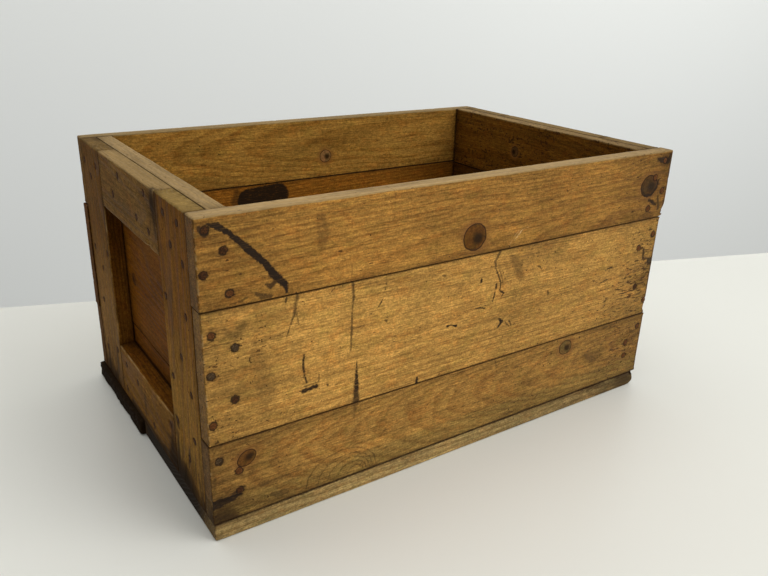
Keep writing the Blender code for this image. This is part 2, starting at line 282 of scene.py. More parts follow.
# Each board's dark marks: strength and softness, then points along each as (x or y, z, half width). They are
# on the outer face of the front and left boards, and on the inner face of the back ones.
STROKES = {
    "front_top_board": [
        (1.06, 0.8, [(11, 270, 1.2), (17, 268, 2.6), (25, 262, 1.8), (32, 255, 2.4), (40, 247, 3)]),
        (1.12, 0.8, [(40, 247, 3), (46, 241, 2.6), (52, 235, 2.4), (57, 228, 2.8), (60, 223, 3.4)]),
        (1.12, 1.2, [(60, 223, 3.4), (65, 218, 3.2), (69, 214, 2.4), (70, 208, 1.3)]),
        (0.88, 1.2, [(53, 217, 1.2), (57, 215, 2.4), (61, 218, 2)]),
        (0.75, 1.5, [(45, 211, 1.5), (50, 208, 2.6), (56, 207, 2)]),
        (0.62, 0.8, [(24, 207, 0.8), (33, 208, 1), (38, 210, 0.5)]),
        (0.88, 1.2, [(4, 268, 2), (8, 264, 3)]),
        (0.94, 1.6, [(498, 269, 1.4), (505, 267, 3.2), (516, 265, 3.2), (518, 271, 1.6)]),
        (0.94, 1.2, [(480, 238, 0.6), (486, 231, 1.2), (496, 231, 1.8), (503, 237, 1.6), (505, 246, 1)]),
        (1, 1.4, [(494, 225, 1.8), (499, 223, 2.2), (506, 219, 1.8)]),
        (0.75, 1.2, [(508, 228, 1.4), (512, 214, 1.8)]),
        (0.62, 1.2, [(520, 272, 1), (520, 240, 0.9), (519, 208, 1.3)]),
        (0.4, 2.5, [(100, 262, 4), (102, 250, 5.5), (101, 240, 3.5)]),
        (0.3, 2.5, [(262, 205, 1.5), (296, 206, 2)]),
    ],
    "front_middle_board": [
        (0.78, 1.2, [(129, 205, 1.2), (130, 193, 1.2), (129, 178, 0.7), (129, 164, 1.1), (128, 142, 1)]),
        (1, 1, [(134, 131, 0.2), (134, 120, 1.2), (134, 110, 2.2), (134, 103, 2.4)]),
        (0.94, 1.8, [(134, 103, 2.4), (134, 92, 3.6)]),
        (1, 1, [(84, 150, 0.9), (83, 140, 1.1), (84, 132, 0.8), (86, 124, 0.5)]),
        (0.75, 1.6, [(79, 203, 1.2), (77, 194, 1.4), (76, 187, 1.2)]),
        (0.81, 1, [(76, 187, 0.8), (73, 180, 0.7), (69, 170, 0.5)]),
        (0.69, 1, [(78, 187, 0.7), (80, 178, 0.6)]),
        (1.06, 1.2, [(83, 117, 2.2), (88, 117, 1.4), (95, 118, 2)]),
        (0.75, 1.2, [(84, 121, 0.7), (97, 122, 0.8), (98, 128, 0.5)]),
        (1, 0.8, [(105, 117, 0.9), (106, 116, 0.9)]),
        (0.88, 0.6, [(107, 198, 0.4), (112, 202, 0.6)]),
        (0.88, 0.6, [(155, 177, 0.4), (159, 183, 0.9)]),
        (0.75, 0.6, [(162, 197, 0.7), (161, 191, 0.4)]),
        (0.88, 0.8, [(163, 162, 1), (164, 161, 1)]),
        (0.75, 0.8, [(147, 172, 0.9), (148, 172, 0.9)]),
        (1, 1, [(199, 97, 0.8), (199, 91, 1.8)]),
        (0.88, 0.8, [(70, 203, 0.8), (69, 200, 1)]),
        (0.75, 1.2, [(288, 203, 1.6), (283, 194, 1.6), (284, 188, 0.8)]),
        (0.88, 0.7, [(284, 188, 0.5), (288, 180, 0.9), (292, 172, 0.8), (292, 165, 1)]),
        (0.62, 0.7, [(289, 186, 0.4), (294, 174, 0.7), (296, 166, 0.6)]),
        (0.94, 0.8, [(292, 164, 1), (297, 160, 1.1), (295, 157, 1)]),
        (0.94, 0.7, [(287, 171, 1.1), (286, 163, 0.6), (284, 155, 0.7)]),
        (0.94, 0.6, [(262, 151, 0.3), (269, 151, 1), (275, 149, 0.5)]),
        (1, 0.8, [(267.5, 180, 1), (268, 177, 1.4)]),
        (1.06, 0.7, [(231, 141, 1.2), (235, 141, 0.7), (241, 139, 1.2)]),
        (0.45, 0.7, [(236, 151, 0.4), (246, 148, 0.5)]),
        (1, 0.9, [(294, 134, 1.2), (298, 130, 2.1), (294, 125, 0.8)]),
        (0.75, 0.6, [(303, 128, 0.5), (308, 123, 0.6)]),
        (0.75, 0.6, [(308, 129, 0.5), (311, 123, 0.6)]),
        (0.75, 0.8, [(357, 150, 1), (358, 147, 1.4)]),
        (0.75, 0.6, [(338, 180, 0.5), (342, 179, 0.9), (345, 175, 0.5)]),
        (0.62, 0.6, [(222, 192, 0.6), (225, 191, 0.8)]),
        (0.42, 3.2, [(304, 195, 3), (312, 184, 5), (318, 173, 4)]),
        (0.75, 1.4, [(517, 202, 0.6), (516, 150, 1.4), (516, 96, 1.2)]),
        (0.88, 1, [(499, 170, 1.8), (500, 160, 1.6)]),
        (0.28, 6, [(40, 162, 3), (48, 145, 7), (50, 125, 8), (48, 108, 4)]),
        (0.35, 2.5, [(20, 184, 2.5), (27, 180, 4), (33, 188, 3)]),
        (0.88, 0.8, [(436, 143, 0.3), (443, 145, 0.9), (448, 145, 0.4)]),
        (0.88, 0.8, [(440, 156, 0.4), (447, 158, 1), (452, 157, 0.6)]),
    ],
    "front_bottom_board": [
        (0.45, 1.8, [(133, 91, 3.4), (133, 84, 1.8), (132, 76, 0.5)]),
        (1, 1, [(-2, 35.5, 4.6), (6, 35.5, 4.2), (15, 36, 3.2), (26, 37.5, 1)]),
        (0.75, 1.6, [(18, 41, 1.2), (23, 42, 2.8), (28, 44, 1.6)]),
        (0.4, 2, [(2, 46, 2), (3, 62, 1.6), (2, 76, 1)]),
        (0.55, 1.6, [(0, 41.5, 0.3), (40, 40, 0.7), (80, 42, 0.4)]),
        (0.5, 1, [(52, 27, 2), (60, 25, 3.5), (66, 24, 2)]),
        (0.6, 1.2, [(488, 58, 0.8), (495, 58, 1.6)]),
        (0.6, 1.2, [(496, 76, 1), (500, 71, 1.8), (509, 70, 1)]),
        (0.6, 1.4, [(517, 88, 0.8), (517, 50, 1.2), (518, 20, 1.6)]),
        (0.6, 0.5, [(295, 89, 0.5), (299, 68, 0.3)]),
        (0.35, 3, [(425, 60, 3), (440, 52, 7), (455, 60, 4)]),
        *grain_fan(138, 20, (6, 11, 16, 21, 27)),
    ],
    "back_middle_board": [
        (1.1, 2, [(180, 188, 14), (218, 190, 14.5)]),
        (0.6, 3.5, [(164, 188, 6), (166, 200, 3)]),
    ],
    "left_top_rail": [
        (0.75, 4, [(91, 276, 3), (94, 263, 4.5), (91, 250, 3), (89, 236, 1.5)]),
        (0.4, 1.5, [(100, 252, 1), (102, 238, 1.5)]),
    ],
    "left_front_stile": [
        (0.5, 3, [(81, 270, 2.5), (81, 250, 2), (82, 230, 1)]),
        (0.85, 3, [(76, 64, 1.5), (78, 46, 3.2), (80, 22, 4)]),
        (0.85, 2, [(47, 64, 1), (49, 56, 2), (53, 42, 1.2)]),
        (0.8, 3, [(60, 40, 1), (64, 24, 4), (60, 17, 5)]),
        (0.8, 1.6, [(78, 80, 1.6), (74, 72, 2.4), (71, 70, 1)]),
        (0.75, 3, [(30, 48, 1), (27, 34, 2), (20, 17, 4.5)]),
        (0.5, 2.5, [(34, 64, 1), (36, 46, 2)]),
        (0.6, 2.5, [(82, 84, 1.5), (81, 60, 2)]),
        (0.6, 3, [(22, 60, 0.6), (24, 20, 2.5)]),
    ],
    "left_bottom_rail": [
        (0.85, 4, [(88, 26, 6), (130, 19, 5), (220, 20, 5)]),
        (0.7, 3, [(94, 46, 1.5), (98, 30, 4)]),
        (0.6, 3, [(90, 66, 2), (96, 36, 4)]),
        (0.5, 3, [(170, 60, 1.5), (174, 30, 3)]),
    ],
    "left_back_stile": [
        (0.75, 4, [(264, 64, 2), (268, 34, 4), (282, 20, 5)]),
        (0.7, 3, [(300, 60, 2), (304, 18, 5)]),
        (0.5, 3, [(253, 230, 2), (254, 180, 1.5), (252, 100, 2)]),
    ],
}

# Pale scratches, given as the strokes are.
SCRATCHES = {
    "front_top_board": [
        (0.8, 0.4, [(304.6, 211.5, 0.3), (309.5, 216.5, 0.5), (313.6, 220.5, 0.3)]),
        (0.3, 0.4, [(313.6, 220.5, 0.3), (322, 222, 0.3)]),
        (0.3, 0.4, [(299, 208, 0.3), (303, 214, 0.4), (309, 220, 0.3)]),
    ],
}

# Where each board has many short dark dashes: place, reach along and across the board, and amount.
PEPPERED = {
    "front_middle_board": [
        ((482, 0, 128), (46, 50), 1),
        ((505, 0, 165), (30, 45), 0.7),
        ((420, 0, 110), (60, 30), 0.35),
        ((20, 0, 120), (45, 60), 0.45),
        ((210, 0, 145), (130, 60), 0.5),
    ],
    "front_bottom_board": [
        ((260, 0, 60), (140, 40), 0.5),
        ((485, 0, 55), (45, 30), 0.75),
        ((60, 0, 70), (60, 30), 0.35),
    ],
    "front_top_board": [
        ((120, 0, 240), (90, 40), 0.4),
        ((500, 0, 232), (40, 45), 0.6),
        ((25, 0, 230), (50, 40), 0.35),
    ],
    "back_top_board": [
        ((100, WIDTH_MM, 235), (120, 60), 0.5),
        ((430, WIDTH_MM, 235), (60, 60), 0.4),
    ],
    "right_upper_panel_board": [((LENGTH_MM, 150, 235), (120, 60), 0.6)],
    "floor_front_board": [((460, 0, 8), (60, 30), 0.8)],
}

# Each board's dirty patches, and one patch of painted shade on the right end: place, radius and strength.
DIRT_AND_SHADE_PATCHES = {
    "front_top_board": [
        ((495, 0, 235), 60, 0.35),
        ((512, 0, 266), 14, 0.5),
    ],
    "front_bottom_board": [
        ((30, 0, 50), 50, 0.3),
        ((10, 0, 24), 18, 0.6),
        ((505, 0, 62), 16, 0.5),
    ],
    "front_middle_board": [((507, 0, 130), 18, 0.5)],
    "floor_front_board": [
        ((415, 0, 12), 30, 0.5),
        ((460, 0, 8), 45, 0.5),
        ((510, 0, 8), 34, 0.8),
        ((0, 52, 8), 36, 1.5),
        ((0, 105, 8), 40, 1.6),
        ((0, 155, 8), 40, 1.6),
    ],
    "floor_back_board": [
        ((0, 210, 8), 45, 1.6),
        ((0, 290, 8), 60, 1.6),
    ],
    "left_front_stile": [
        ((0, 70, 20), 30, 0.9),
        ((0, 40, 15), 40, 0.5),
        ((0, 88, 262), 14, 0.6),
    ],
    # Painted shade: the right end's panel is darker towards the front corner.
    "right_upper_panel_board": [((LENGTH_MM, 60, 250), 70, 0.45)],
    "left_top_rail": [((0, 92, 262), 13, 0.9)],
    "left_back_stile": [((0, 300, 20), 45, 0.8)],
    "left_bottom_rail": [((0, 92, 30), 26, 0.9)],
}

# Each board's gouges and chips: place, reach along, across and through the board, and depth.
DENTS = {
    "front_bottom_board": [
        ((8, 0, 35.5), (12, 4, 8), 2.4),
        ((22, 0, 37), (8, 2.5, 8), 1.2),
    ],
    "front_middle_board": [
        ((89, 0, 118), (5, 2.5, 5), 0.9),
        ((519, 0, 98), (4, 5, 12), 1.6),
    ],
    "front_top_board": [
        ((67, 0, 216), (6, 4, 5), 0.6),
        ((498, 0, 226), (5, 2, 5), 0.9),
        ((523, 0, 208), (5, 6, 14), 3.4),
    ],
    "floor_front_board": [
        ((519, 0, 19), (7, 80, 6), 7),
        ((517, 0, 0), (4, 60, 3), 2),
    ],
    "left_top_rail": [((0, 112, 225), (4, 4, 4), 1.6)],
    "left_front_stile": [((0, 66, 68), (14, 3, 5), 1)],
}


def knots_of(board):
    """The board's knots as (local place, half length, half width, turn, colour), in metres and radians."""
    found = []
    for at, long, wide, turn, tone in KNOTS.get(board.node, []):
        found.append((board.local(place(*at)), long * MM, wide * MM, radians(turn), tone))
    return found


def hold_shade_field(points):
    """1 on the surfaces that face into a hand hold, where the wood is darkened as painted shade."""
    inside = 2.5 * MM
    field = np.zeros(len(points))
    for face, inward in ((LEFT, 1), (RIGHT, -1)):
        stile = "left_front_stile" if inward > 0 else "right_front_stile"
        edges = sorted((face + inward * inside, face + inward * FRAME_DEPTH))
        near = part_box(stile)[1].y
        rails = stile.replace("front_stile", "bottom_rail"), stile.replace("front_stile", "top_rail")
        low = np.array([edges[0], near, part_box(rails[0])[1].z])
        high = np.array([edges[1], -near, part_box(rails[1])[0].z])
        field = np.maximum(field, smooth(distance_to_box(points, low, high), 1.6 * MM, 0.5 * MM))
    return field


def distance_to_box(points, low, high):
    outside = np.maximum(np.maximum(low - points, points - high), 0)
    return np.linalg.norm(outside, axis=1)


def joint_distance(board, points):
    """How far each point is from the nearest of the other boards."""
    distance = np.full(len(points), 0.05)
    for node, (low, high) in BOARD_BOXES.items():
        if node != board.node:
            distance = np.minimum(distance, distance_to_box(points, low, high))
    return distance


def wear_radius(board, local, joint):
    """How far each edge is rounded off: more at the corners and in chips, and least where boards meet."""
    along = local * np.array([1.0, 0.6, 0.6])
    radius = ROUNDING + ROUNDING_CHANGE * rough_noise(along, 40 * MM, board.seed + 5)
    chips = smooth(rough_noise(local, (9 * MM, 5 * MM, 5 * MM), board.seed + 9), 0.35, 0.75)
    corner = smooth(board.half[0] - np.abs(local[:, 0]), 12 * MM, 0)
    radius = radius * (1 + 0.6 * corner) + CHIP_ROUNDING * chips
    exposed = 0.35 + 0.65 * smooth(joint, 1 * MM, 5 * MM)
    return np.clip(radius * exposed, LEAST_ROUNDING, MOST_ROUNDING)


def ragged_ends(board, local, ends):
    """Broken or uneven ends: points near an end move back along the grain, more where the noise is high."""
    for sign, depth in ends:
        across = np.stack([np.zeros(len(local)), local[:, 1], local[:, 2] * 2], -1)
        bites = 0.5 + 0.5 * rough_noise(across, (1, 30 * MM, 20 * MM), board.seed + 21, 4)
        splinters = smooth(noise(across, (1, 3.2 * MM, 4 * MM), board.seed + 27), 0.0, 0.8)
        back = depth * np.clip(bites + 0.3 * splinters, 0, 1.2)
        near = smooth(sign * local[:, 0], board.half[0] - 25 * MM, board.half[0])
        local[:, 0] -= sign * back * near
    return local


def worn_in(board, points, world, face, nails):
    """(how far each point is pressed in, how far the knots push the grain aside there)."""
    pressed = HOLLOW * face * (1 + rough_noise(points, (60 * MM, 14 * MM, 14 * MM), board.seed + 1))
    pressed += FIBRE_DEPTH * (1 + noise(points, (30 * MM, 1.6 * MM, 3 * MM), board.seed + 2))
    for at in nails:
        away = np.linalg.norm(world - at, axis=1)
        pressed += NAIL_DENT * smooth(away, 5.5 * MM, 3.2 * MM)
    for at, reaches, deep in DENTS.get(board.node, []):
        shift = (points - board.local(place(*at))) / (np.array(reaches) * MM)
        ripple = 1 + 0.4 * noise(points, (4 * MM, 1.5 * MM, 2 * MM), board.seed + 3)
        pressed += deep * MM * np.exp(-(shift**2).sum(1)) * ripple
    swirl = np.zeros(len(points))
    for at, long, wide, _, _ in knots_of(board):
        shift = points[:, :2] - at[:2]
        away = np.hypot(shift[:, 0] / long, shift[:, 1] / wide)
        swirl += -0.8 * shift[:, 1] * np.exp(-((away / 2.2) ** 2))
        pressed += KNOT_GROOVE * face * smooth(np.abs(away - 1.0), 0.15, 0.0)
    return pressed, swirl


def dirt_and_shade_field(board, world, depth, look):
    """(grime with one patch of painted shade, how much hands have darkened it, how far it has its foot's
    tone) at each point.
    """
    grime_and_shade = np.zeros(len(world))
    for at, size, amount in DIRT_AND_SHADE_PATCHES.get(board.node, []):
        grime_and_shade += amount * np.exp(-(((world - place(*at)) / (size * MM)) ** 2).sum(1))
    grime_and_shade += look["low_dirt"] * smooth(world[:, 2], GROUND_DIRT, 0.0)
    grime_and_shade += look["end_dirt"] * smooth(depth[:, 0], END_DIRT, 0.0)
    x = world[:, 0]
    left_end, right_half, right_end = look["handling"]
    handled = left_end * smooth(x, -150 * MM, -240 * MM) + right_half * smooth(x, -20 * MM, 60 * MM)
    handled += right_end * smooth(x, 150 * MM, 240 * MM)
    on_side = board.order[:2] == [0, 2]
    foot_top, foot_full = (40 * MM, 34 * MM) if on_side else (210 * MM, 90 * MM)
    foot = smooth(world[:, 2], foot_top, foot_full)
    return np.stack([np.clip(grime_and_shade, 0, 1.5), handled, foot], -1)


def pepper_field(board, points):
    """How thick the short dark dashes are at each point."""
    pepper = np.zeros(len(points))
    for at, reaches, amount in PEPPERED.get(board.node, []):
        shift = (points - board.local(place(*at)))[:, :2] / (np.array(reaches) * MM)
        pepper += amount * np.exp(-(shift**2).sum(1))
    return pepper


def worn_board(node, grain, across, through, look):
    """A worn plank that stands for a CAD board, with the fields that its material reads."""
    board = Board(node, grain, across, through)
    half = board.half
    points, quads = box_grid(rows(half[0], NAILED_REACH), rows(half[1], half[1]), rows(half[2], 0.0))
    depth = half - np.abs(points)
    edge = np.sort(depth, axis=1)[:, 1]
    world = board.world(points)

    joint = joint_distance(board, world)
    radius = wear_radius(board, points, joint)[:, None]
    core = np.clip(points, -(half - radius), half - radius)
    out = points - core
    normal = out / np.maximum(np.linalg.norm(out, axis=1, keepdims=True), 1e-9)
    face = np.abs(normal[:, 2])
    nails = [at for at in NAIL_PLACES if distance_to_box(at[None], *BOARD_BOXES[node])[0] < 1 * MM]
    pressed, swirl = worn_in(board, points, world, face, nails)
    local = core + normal * radius
    local = local - normal * pressed[:, None]
    local = ragged_ends(board, local, look["ragged"])

    if np.linalg.det(np.eye(3)[board.order]) < 0:
        quads = quads[:, ::-1]
    obj = mesh_object("worn_" + node, board.world(local), quads)
    rim = smooth(world[:, 2], TOP - RIM_DEPTH, TOP)
    store(obj, "grain", points)
    store(obj, "swirl", swirl)
    store(obj, "wear", np.stack([edge, joint, rim], -1))
    # The first part of the dirt attribute is grime with one patch of painted shade.
    store(obj, "dirt", dirt_and_shade_field(board, world, depth, look))
    store(obj, "end_grain", smooth(depth[:, 0], END_SKIN, 0.0))
    # Painted shade on the surfaces round a hand hold.
    store(obj, "hold_shade", hold_shade_field(world))
    store(obj, "pepper", pepper_field(board, points))
    obj.data.materials.append(pine_material(board, nails, look))
    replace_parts(obj, node)
    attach(obj, BODY)
    return obj


# ---------- shader helpers


class Nodes:
    """Short calls for building a node tree. Every call returns an output socket."""

    def __init__(self, tree):
        self.tree = tree

    def put(self, socket, value):
        if isinstance(value, bpy.types.NodeSocket):
            self.tree.links.new(value, socket)
        else:
            socket.default_value = value

    def add(self, kind, inputs, output=0, **settings):
        node = self.tree.nodes.new("ShaderNode" + kind)
        for name, value in settings.items():
            setattr(node, name, value)
        for name, value in inputs.items():
            self.put(node.inputs[name], value)
        return node.outputs[output]

    def math(self, operation, *values, clamp=False):
        inputs = dict(enumerate(values))
        return self.add("Math", inputs, operation=operation, use_clamp=clamp)

    def plus(self, first, second):
        return self.math("ADD", first, second)

    def minus(self, first, second):
        return self.math("SUBTRACT", first, second)

    def times(self, first, second):
        return self.math("MULTIPLY", first, second)

    def least(self, first, second):
        return self.math("MINIMUM", first, second)

    def most(self, first, second):
        return self.math("MAXIMUM", first, second)

    def field(self, name, vector=False):
        return self.add("Attribute", {}, "Vector" if vector else "Fac", attribute_name=name)

    def noise(self, vector, scale=1.0, detail=2.0, roughness=0.5):
        inputs = {"Vector": vector, "Scale": scale, "Detail": detail, "Roughness": roughness}
        return self.add("TexNoise", inputs, "Fac")

    def split(self, vector):
        return self.add("SeparateXYZ", {0: vector}).node.outputs

    def centred(self, value, width):
        """A field from 0 to 1 made to run from -width/2 to width/2."""
        return self.times(self.minus(value, 0.5), width)

    def scaled(self, color, factor):
        return self.add("VectorMath", {0: color, "Scale": factor}, operation="SCALE")

    def vector(self, operation, *values):
        output = "Value" if operation in ("DOT_PRODUCT", "DISTANCE", "LENGTH") else "Vector"
        return self.add("VectorMath", dict(enumerate(values)), output, operation=operation)

    def streaks(self, at, along, across, detail, roughness=0.5, shift=(0.0, 0.0, 0.0)):
        """Noise with this many features a metre along the grain and across it."""
        moved = self.vector("ADD", at, shift)
        stretched = self.vector("MULTIPLY", moved, (along, across, across))
        return self.noise(stretched, detail=detail, roughness=roughness)

    def range(self, value, low, high, to_low=0.0, to_high=1.0):
        names = {"Value": value, "From Min": low, "From Max": high, "To Min": to_low, "To Max": to_high}
        return self.add("MapRange", names, interpolation_type="SMOOTHSTEP")

    def mix(self, amount, first, second, blend="MIX"):
        node = self.tree.nodes.new("ShaderNodeMix")
        node.data_type = "RGBA"
        node.blend_type = blend
        self.put(node.inputs[0], amount)
        self.put(node.inputs[6], first)
        self.put(node.inputs[7], second)
        return node.outputs[2]

    def tinted(self, color, tint):
        return self.mix(1.0, color, tint, "MULTIPLY")


def new_material(name):
    """(a new material, calls for its nodes, its shader)."""
    made = bpy.data.materials.new(name)
    made.use_nodes = True
    return made, Nodes(made.node_tree), made.node_tree.nodes["Principled BSDF"]


def linear(red, green, blue):
    """A colour given as it shows on a screen, from 0 to 255."""
    levels = [c / 255 for c in (red, green, blue)]
    return tuple(c / 12.92 if c <= 0.04045 else ((c + 0.055) / 1.055) ** 2.4 for c in levels) + (1.0,)


# ---------- aged pine


GROUP_INPUTS = {
    "Pith": ("Vector", (0.0, 0.01, -0.06)),
    "Shift": ("Vector", (0.0, 0.0, 0.0)),
    "Tilt": ("Float", 0.03),
    "Ring Spacing": ("Float", 0.0035),
    "Contrast": ("Float", 0.5),
    "Tone": ("Color", (0.4, 0.2, 0.05, 1.0)),
    "Foot Tone": ("Color", (0.4, 0.2, 0.05, 1.0)),
    "Rim": ("Color", (0.3, 0.2, 0.1, 1.0)),
    "Dirt": ("Float", 0.3),
    "Flecks": ("Float", 0.3),
    "Seams": ("Float", 0.9),
    "Knot": ("Float", 9.0),
    "Heart": ("Float", 9.0),
    "Knot Tone": ("Color", (0.1, 0.05, 0.02, 1.0)),
    "Nail": ("Float", 1.0),
    "Nail Radius": ("Float", 0.003),
    "Mark": ("Float", 0.0),
    "Scratch": ("Float", 0.0),
}
GROUP_OUTPUTS = {"Color": "Color", "Roughness": "Float", "Height": "Float"}
HEART_SHIFT = (-0.28, 0.10, 0.0)
INK = linear(28, 17, 9)
STAIN = linear(40, 28, 17)


def growth_rings(n, grain, at, given):
    """Latewood from 0 to 1, from the distance to a wandering pith line that is bent round the knots."""
    along, across, through = n.split(grain)
    _, pith_across, pith_through = n.split(given["Pith"])
    wander = n.centred(n.streaks(at, 2.2, 9, 2, 0.45), 0.030)
    ripple = n.centred(n.streaks(at, 14, 60, 3), 0.0040)
    drift = n.times(along, given["Tilt"])
    v = n.minus(n.plus(across, n.field("swirl")), pith_across)
    w = n.plus(n.minus(through, pith_through), n.plus(drift, wander))
    radius = n.math("SQRT", n.plus(n.math("POWER", v, 2.0), n.math("POWER", w, 2.0)))
    count = n.math("DIVIDE", n.plus(radius, ripple), given["Ring Spacing"])
    uneven = n.noise(n.add("CombineXYZ", {0: n.times(count, 0.35)}), detail=1.0)
    phase = n.math("FRACT", n.plus(count, n.times(uneven, 1.6)))
    return n.times(n.math("POWER", n.range(phase, 0.2, 0.86), 1.8), n.range(phase, 0.90, 1.0, 1.0, 0.0))


def knotted(n, at, color, given):
    """(colour with the knots laid over it, how strong the dark line round a knot is)."""
    uneven = n.centred(n.noise(at, 140.0, 2.0), 0.16)
    knot = n.plus(given["Knot"], uneven)
    heart = n.scaled(given["Knot Tone"], n.range(n.noise(at, 420.0, 4.0, 0.65), 0.32, 0.68, 0.72, 1.3))
    olive = n.tinted(heart, (0.88, 1.0, 0.95, 1))
    heart = n.mix(n.range(n.noise(at, 110.0, 2.0), 0.42, 0.6), heart, olive)
    rings = n.range(n.math("PINGPONG", n.times(knot, 5.5), 0.5), 0.05, 0.35)
    heart = n.mix(n.times(rings, 0.22), heart, n.scaled(heart, 1.5))
    core = n.plus(given["Heart"], n.times(uneven, 1.5))
    heart = n.mix(n.times(n.range(core, 0.72, 0.2), 0.9), heart, linear(36, 22, 5))
    around = n.range(n.noise(at, 60.0, 3.0), 0.35, 0.65, 0.3, 0.7)
    color = n.mix(n.times(n.range(knot, 1.9, 1.0), around), color, linear(122, 80, 38))
    color = n.mix(n.range(knot, 1.03, 0.97), color, heart)
    line = n.range(n.math("ABSOLUTE", n.minus(knot, 1.0)), 0.075, 0.02)
    return n.mix(n.times(line, 0.9), color, linear(40, 22, 10)), line


def flecked(n, at, color, amount):
    """(colour with dark dashes, specks and fine checks, how strong they are)."""
    short = n.streaks(at, 105, 460, 1.5, 0.45)
    short_level = n.math("MULTIPLY_ADD", n.least(n.field("pepper"), 1.2), -0.19, 0.80)
    short = n.range(n.minus(short, short_level), -0.008, 0.035)
    dashes = n.streaks(at, 90, 250, 3, 0.55)
    specks = n.streaks(at, 300, 330, 2, 0.5)
    where = n.streaks(at, 20, 34, 2)
    level = n.times(amount, n.range(where, 0.35, 0.65, 0.6, 1.3))
    dash_level = n.math("MULTIPLY_ADD", level, -0.055, 0.775)
    speck_level = n.math("MULTIPLY_ADD", level, -0.055, 0.755)
    dash = n.range(n.minus(dashes, dash_level), -0.012, 0.03)
    speck = n.range(n.minus(specks, speck_level), -0.012, 0.03)
    fleck = n.most(n.most(dash, speck), short)
    crack = n.math("ABSOLUTE", n.centred(n.streaks(at, 9, 190, 2), 1.0))
    where = n.range(n.streaks(at, 13, 40, 1), 0.52, 0.66)
    crack = n.times(n.range(crack, 0.014, 0.003), where)
    scratch = n.math("ABSOLUTE", n.centred(n.streaks(at, 150, 22, 1), 1.0))
    where = n.range(n.streaks(at, 37, 17, 1), 0.60, 0.72)
    scratch = n.times(n.range(scratch, 0.010, 0.002), where)
    color = n.mix(n.times(crack, 0.5), color, linear(70, 42, 18))
    color = n.mix(n.times(scratch, 0.45), color, linear(82, 52, 26))
    color = n.mix(n.times(fleck, 0.82), color, linear(54, 31, 13))
    return color, n.most(fleck, crack)


def wood_fields(n, grain, at, given):
    """What the wood's looks are worked out from: rings, streaks, specks and the board's own fields."""
    edge, joint, rim = n.split(n.field("wear", vector=True))
    grime_and_shade, handled, foot = n.split(n.field("dirt", vector=True))
    return SimpleNamespace(
        edge=edge, joint=joint, rim=rim, grime_and_shade=grime_and_shade, handled=handled, foot=foot,
        late=growth_rings(n, grain, at, given),
        fibre=n.streaks(at, 24, 820, 3, 0.6),
        torn=n.streaks(at, 190, 760, 2, 0.6),
        streak=n.streaks(at, 7, 130, 3, 0.6),
        speck=n.noise(at, 620.0, detail=3.0, roughness=0.65),
        mottle=n.streaks(at, 170, 260, 5, 0.7),
        blotch=n.streaks(at, 12, 26, 4, 0.6),
        pore=n.range(n.streaks(at, 120, 1000, 1), 0.62, 0.75),
    )


def bare_wood(n, at, given, wood):
    """The board's own tone, made lighter and darker by its rings, fibres, torn grain and specks."""
    ringed = n.mix(n.times(wood.late, given["Contrast"]), (1.1, 1.1, 1.1, 1), (0.62, 0.5, 0.36, 1))
    color = n.tinted(n.mix(wood.foot, given["Tone"], given["Foot Tone"]), ringed)
    for field, low, high, least, most in (
        (wood.fibre, 0.3, 0.7, 0.74, 1.20),
        (wood.torn, 0.32, 0.68, 0.80, 1.16),
        (wood.speck, 0.34, 0.66, 0.76, 1.18),
        (wood.mottle, 0.34, 0.66, 0.82, 1.12),
        (wood.streak, 0.25, 0.75, 0.86, 1.12),
        (wood.blotch, 0.3, 0.7, 0.82, 1.14),
        (wood.handled, 0.0, 1.0, 1.04, 0.74),
    ):
        color = n.scaled(color, n.range(field, low, high, least, most))
    warm = n.range(n.streaks(at, 60, 90, 5, 0.75), 0.48, 0.66)
    color = n.mix(warm, color, n.tinted(color, (1.06, 0.94, 0.86, 1)))
    olive = n.range(n.streaks(at, 52, 80, 5, 0.75, shift=(5, 3, 1)), 0.48, 0.66)
    color = n.mix(olive, color, n.tinted(color, (0.91, 0.96, 0.90, 1)))
    return n.mix(n.times(wood.pore, 0.3), color, n.scaled(color, 0.55))


def rubbed(n, at, color, given, wood):
    """The colour with worn corners and the pale top rim, where the surface has rubbed away."""
    patchy = n.range(n.streaks(at, 50, 170, 3), 0.46, 0.62)
    bare = n.times(n.range(wood.edge, 0.0020, 0.0004), n.range(wood.joint, 0.002, 0.005))
    color = n.mix(n.times(n.times(bare, patchy), 0.6), color, linear(178, 146, 96))
    rim_color = n.scaled(given["Rim"], n.range(wood.torn, 0.25, 0.75, 0.78, 1.12))
    rim_color = n.scaled(rim_color, n.range(wood.streak, 0.25, 0.75, 0.78, 1.12))
    uneven = n.centred(n.streaks(at, 60, 260, 3), 1.1)
    rim = n.range(n.plus(wood.rim, uneven), 0.5, 0.8)
    return n.mix(n.times(rim, 0.92), color, rim_color)


